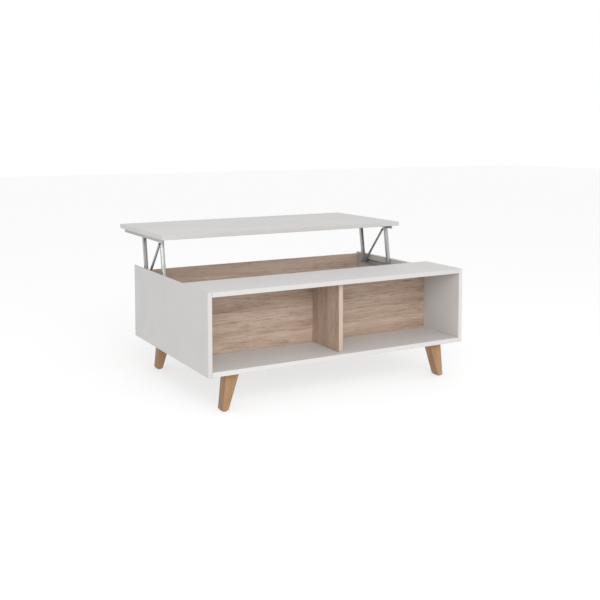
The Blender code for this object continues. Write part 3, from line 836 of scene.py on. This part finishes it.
def makePin(node, side):
    # A hollow-headed rivet pin: its head faces inboard and its shank ends behind the rail.
    place, size = middleOf(node)
    kind = pinShape["strut" if "strut" in node else "arm"]
    shank, head = kind["shank"], kind["head"]
    end = head - size.x
    profile = scaled(pinShape["crown"], size.y / 2, head)
    profile += [(shank, 0), (shank, end + kind["chamfer"]),
                (shank * pinShape["chamferRadius"], end), (0, end)]
    shape = spun(profile, pinShape["steps"])
    inboard = -1 if side == "right" else 1
    seat = Vector((place.x + inboard * (size.x / 2 - head), place.y, place.z))
    stand(shape, seat, (inboard, 0, 0))
    finishPiece(linkMesh(node + "Rivet", shape), node, pinSteel)


screwShape = {
    "crown": ((0, 1), (0.66, 1), (0.86, 0.86), (0.97, 0.6), (1, 0.32), (0.99, 0)),
    "head": 0.0015,
    "shank": 0.00175,
    "core": 0.00125,
    "threads": 7,
    "rootStart": 0.25,
    "rootEnd": 0.5,
    "crest": 0.8,
    "point": 0.0030,
    "tip": 0.0004,
    "tipRadius": 0.4,
    "slotWidth": 0.00032,
    "slotReach": 0.00150,
    "slotDepth": 0.00075,
    "slotTaper": 0.72,
    "crownLevel": 0.99,
    "crownFacing": 0.9,
    "cutMerge": 0.0000005,
    "flat": 1,
    "steps": 32,
}


def sinkCross(shape, level):
    # A cross recess: the crown is cut along eight lines, and its cross of faces sinks in.
    width, reach = screwShape["slotWidth"], screwShape["slotReach"]
    for plane in ((1, 0, 0), (0, 1, 0)):
        for offset in (-reach, -width, width, reach):
            crown = [face for face in shape.faces if face.calc_center_median().z > level]
            parts = set(crown)
            for face in crown:
                parts.update(face.edges)
                parts.update(face.verts)
            bmesh.ops.bisect_plane(shape, geom=list(parts), dist=screwShape["cutMerge"],
                                   plane_co=Vector(plane) * offset, plane_no=plane)
    cross = []
    for face in shape.faces:
        x, y, z = (abs(value) for value in face.calc_center_median())
        onCrown = z > level and face.normal.z > screwShape["crownFacing"]
        if onCrown and min(x, y) < width and max(x, y) < reach:
            cross.append(face)
    sunk = bmesh.ops.extrude_face_region(shape, geom=cross)
    bmesh.ops.delete(shape, geom=cross, context="FACES_ONLY")
    moved = [item for item in sunk["geom"] if isinstance(item, bmesh.types.BMVert)]
    bmesh.ops.translate(shape, vec=(0, 0, -screwShape["slotDepth"]), verts=moved)
    taper = (screwShape["slotTaper"], screwShape["slotTaper"], 1)
    bmesh.ops.scale(shape, vec=taper, verts=moved)


def makeScrew(node, direction):
    # A pan-head wood screw with a ridged shank and a cross recess in its head.
    place, size = middleOf(node)
    axis = Vector(direction)
    length = abs(size.dot(axis))
    head, shank, core = screwShape["head"], screwShape["shank"], screwShape["core"]
    threads = screwShape["threads"]
    tip = head - length
    pitch = (length - head - screwShape["point"]) / threads
    profile = scaled(screwShape["crown"], size.y / 2, head) + [(shank, 0)]
    for turn in range(threads):
        profile += [(core, -pitch * (turn + screwShape["rootStart"])),
                    (core, -pitch * (turn + screwShape["rootEnd"])),
                    (shank, -pitch * (turn + screwShape["crest"]))]
    profile += [(core, -pitch * threads), (core * screwShape["tipRadius"], tip + screwShape["tip"]),
                (0, tip)]
    shape = spun(profile, screwShape["steps"])
    bmesh.ops.dissolve_limit(shape, angle_limit=math.radians(screwShape["flat"]),
                             verts=shape.verts, edges=shape.edges)
    sinkCross(shape, head * screwShape["crownLevel"])
    bmesh.ops.recalc_face_normals(shape, faces=shape.faces)
    stand(shape, place + axis * (length / 2 - head), direction)
    finishPiece(linkMesh(node + "Panhead", shape), node, pinSteel)


glandShape = {
    "inner": 0.00292,
    "bore": 0.0033,
    "outer": 0.00475,
    "collar": 0.0020,
    "skirt": 0.0026,
    "gap": 0.0001,
    "lead": 1.12,
    "leadLevel": 0.82,
    "nose": 0.78,
    "noseLevel": 0.55,
    "steps": 32,
}


def makeGland(side):
    # The plastic bush that guides the rod at the tube's mouth.
    lower, upper = joints[side + "_strut_lower_pivot"], joints[side + "_strut_upper_pivot"]
    along = (upper - lower).normalized()
    tubeMesh = nodes[side + "_strut_tube"].data
    mouth = max((vertex.co - lower).dot(along) for vertex in tubeMesh.vertices)
    inner, bore, outer = glandShape["inner"], glandShape["bore"], glandShape["outer"]
    collar, skirt, gap = glandShape["collar"], glandShape["skirt"], glandShape["gap"]
    mouthStart = (inner, collar * glandShape["leadLevel"])
    profile = [mouthStart, (inner * glandShape["lead"], collar),
               (outer * glandShape["nose"], collar), (outer, collar * glandShape["noseLevel"]),
               (outer, gap), (bore, gap), (bore, -skirt), (inner, -skirt), mouthStart]
    shape = spun(profile, glandShape["steps"])
    stand(shape, lower + along * mouth, along)
    piece = linkMesh(side + "StrutGland", shape)
    surfacePiece(piece, glandPlastic)
    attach(piece, side + "_strut_tube")


def finishLifts():
    for side in sides:
        for part in ("rear_arm", "front_arm"):
            node = side + "_" + part
            pressed = eased(node, node + "Pressed", easedShape["arm"])
            finishPiece(pressed, node, armSteel)
        for part in ("base_rail", "top_rail"):
            node = side + "_" + part
            folded = eased(node, node + "Folded", easedShape["rail"])
            finishPiece(folded, node, railSteel)
        for part in ("strut_tube", "strut_rod"):
            node = side + "_" + part
            drawn = eased(node, node + "Drawn", easedShape["strut"])
            finishPiece(drawn, node, strutSteel)
        makeGland(side)
        for part in ("rear_lower", "front_lower", "rear_upper", "front_upper",
                     "strut_lower", "strut_upper"):
            makePin(f"{side}_{part}_pin", side)
        inboard = -1 if side == "right" else 1
        for number in (1, 2, 3):
            makeScrew(f"{side}_base_screw_{number}", (inboard, 0, 0))
            makeScrew(f"{side}_lid_screw_{number}", (0, 0, -1))


def finishLegs():
    # Each leg is cut from its own place in the oak.
    corners = [(side, end) for side in sides for end in ("front", "rear")]
    for number, (side, end) in enumerate(corners):
        name = f"{side}_{end}"
        shift = solidOakLook["firstShift"] + solidOakLook["shiftStep"] * number
        makeLeg(name + "_leg", legOak(name + "_legOak", shift))
        makeGlide(name + "_glide")
        paint(name + "_leg_bolt", pinSteel)


finishLifts()
print("lifts finished")
finishLegs()
print("legs finished")
